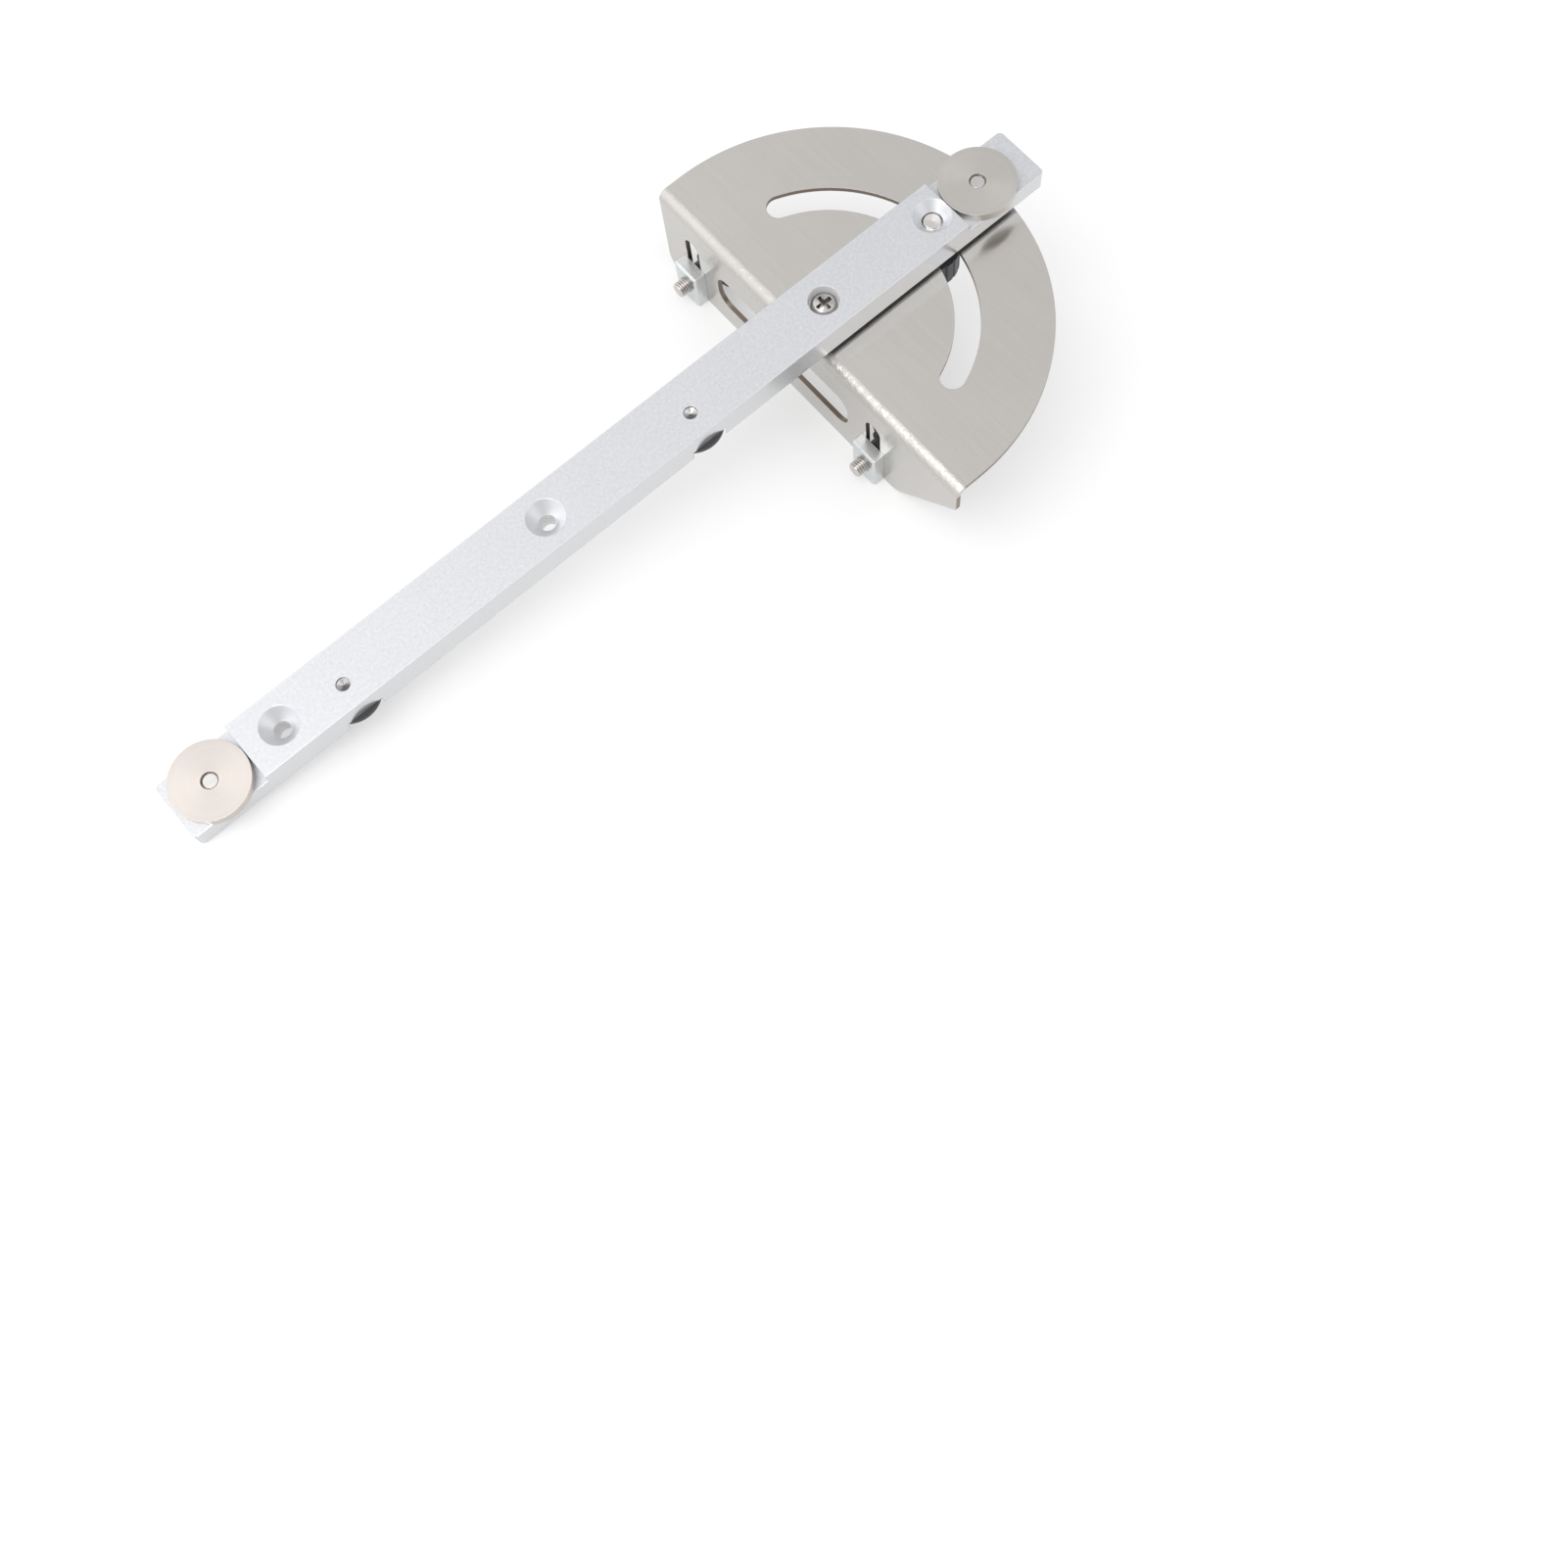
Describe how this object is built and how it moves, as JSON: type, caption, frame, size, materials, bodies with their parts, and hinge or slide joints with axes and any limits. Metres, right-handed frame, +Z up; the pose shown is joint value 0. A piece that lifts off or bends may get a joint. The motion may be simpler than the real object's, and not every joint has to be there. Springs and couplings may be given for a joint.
{
  "type": "protractor ruler",
  "caption": "Mitre gauge with a slotted half-disc protractor head folded into a flange, pivoted under a long flat sliding bar.",
  "frame": {"origin": "on the ground under the middle of the gauge, as it lies at rest with its sliding bar up", "axes": "+Z up from the ground, +X along the ground from the front end of the bar to its raised rear end, +Y across the bar to the square end of the head"},
  "size_m": [0.3013, 0.1326, 0.06],
  "materials": {
    "bar_aluminium": "bead-blasted anodised",
    "head_steel": "brushed",
    "disc_steel": "turned",
    "screw_steel": "polished",
    "bolt_steel": "plain steel",
    "zinc_steel": "zinc plated",
    "black_knob": "moulded",
    "black_nylon": "smooth"
  },
  "bodies": {
    "bar": {"miter_bar": "bar_aluminium", "front_t_disc": "disc_steel", "rear_t_disc": "disc_steel", "front_disc_screw": "screw_steel", "rear_disc_screw": "screw_steel", "front_expansion_disc": "black_nylon", "middle_expansion_disc": "black_nylon", "front_expansion_screw": "screw_steel", "middle_expansion_screw": "screw_steel", "pivot_screw": "screw_steel", "pivot_spacer_washer": "zinc_steel", "pivot_washer": "zinc_steel", "pivot_lock_nut": "zinc_steel", "clamp_washer": "zinc_steel"},
    "head": {"protractor_head": "head_steel"},
    "clamp": {"clamp_knob": "black_knob", "clamp_stud": "bolt_steel"},
    "left_fence_clamp": {"left_fence_nut": "zinc_steel"},
    "left_fence_grip": {"left_fence_knob": "black_knob", "left_fence_bolt": "bolt_steel"},
    "right_fence_clamp": {"right_fence_nut": "zinc_steel"},
    "right_fence_grip": {"right_fence_knob": "black_knob", "right_fence_bolt": "bolt_steel"}
  },
  "joints": [
    {"name": "head_swing", "type": "hinge", "parent": "bar", "child": "head", "pos_m": [0.0758, 0, 0.03741], "axis": [-0.1702, 0, 0.9854], "range_deg": [-69, 69]},
    {"name": "clamp_knob_turn", "type": "hinge", "parent": "bar", "child": "clamp", "pos_m": [0.11682, 0, 0.04196], "axis": [-0.1702, 0, 0.9854], "continuous": true},
    {"name": "left_fence_slide", "type": "slide", "parent": "head", "child": "left_fence_clamp", "axis": [-0.1702, 0, 0.9854], "range_m": [0, 0.01495]},
    {"name": "left_fence_knob_turn", "type": "hinge", "parent": "left_fence_clamp", "child": "left_fence_grip", "pos_m": [0.07229, 0.0526, 0.00779], "axis": [-0.9854, 0, -0.1702], "continuous": true},
    {"name": "right_fence_slide", "type": "slide", "parent": "head", "child": "right_fence_clamp", "axis": [-0.1702, 0, 0.9854], "range_m": [0, 0.01495]},
    {"name": "right_fence_knob_turn", "type": "hinge", "parent": "right_fence_clamp", "child": "right_fence_grip", "pos_m": [0.07229, -0.0304, 0.00779], "axis": [-0.9854, 0, -0.1702], "continuous": true}
  ]
}
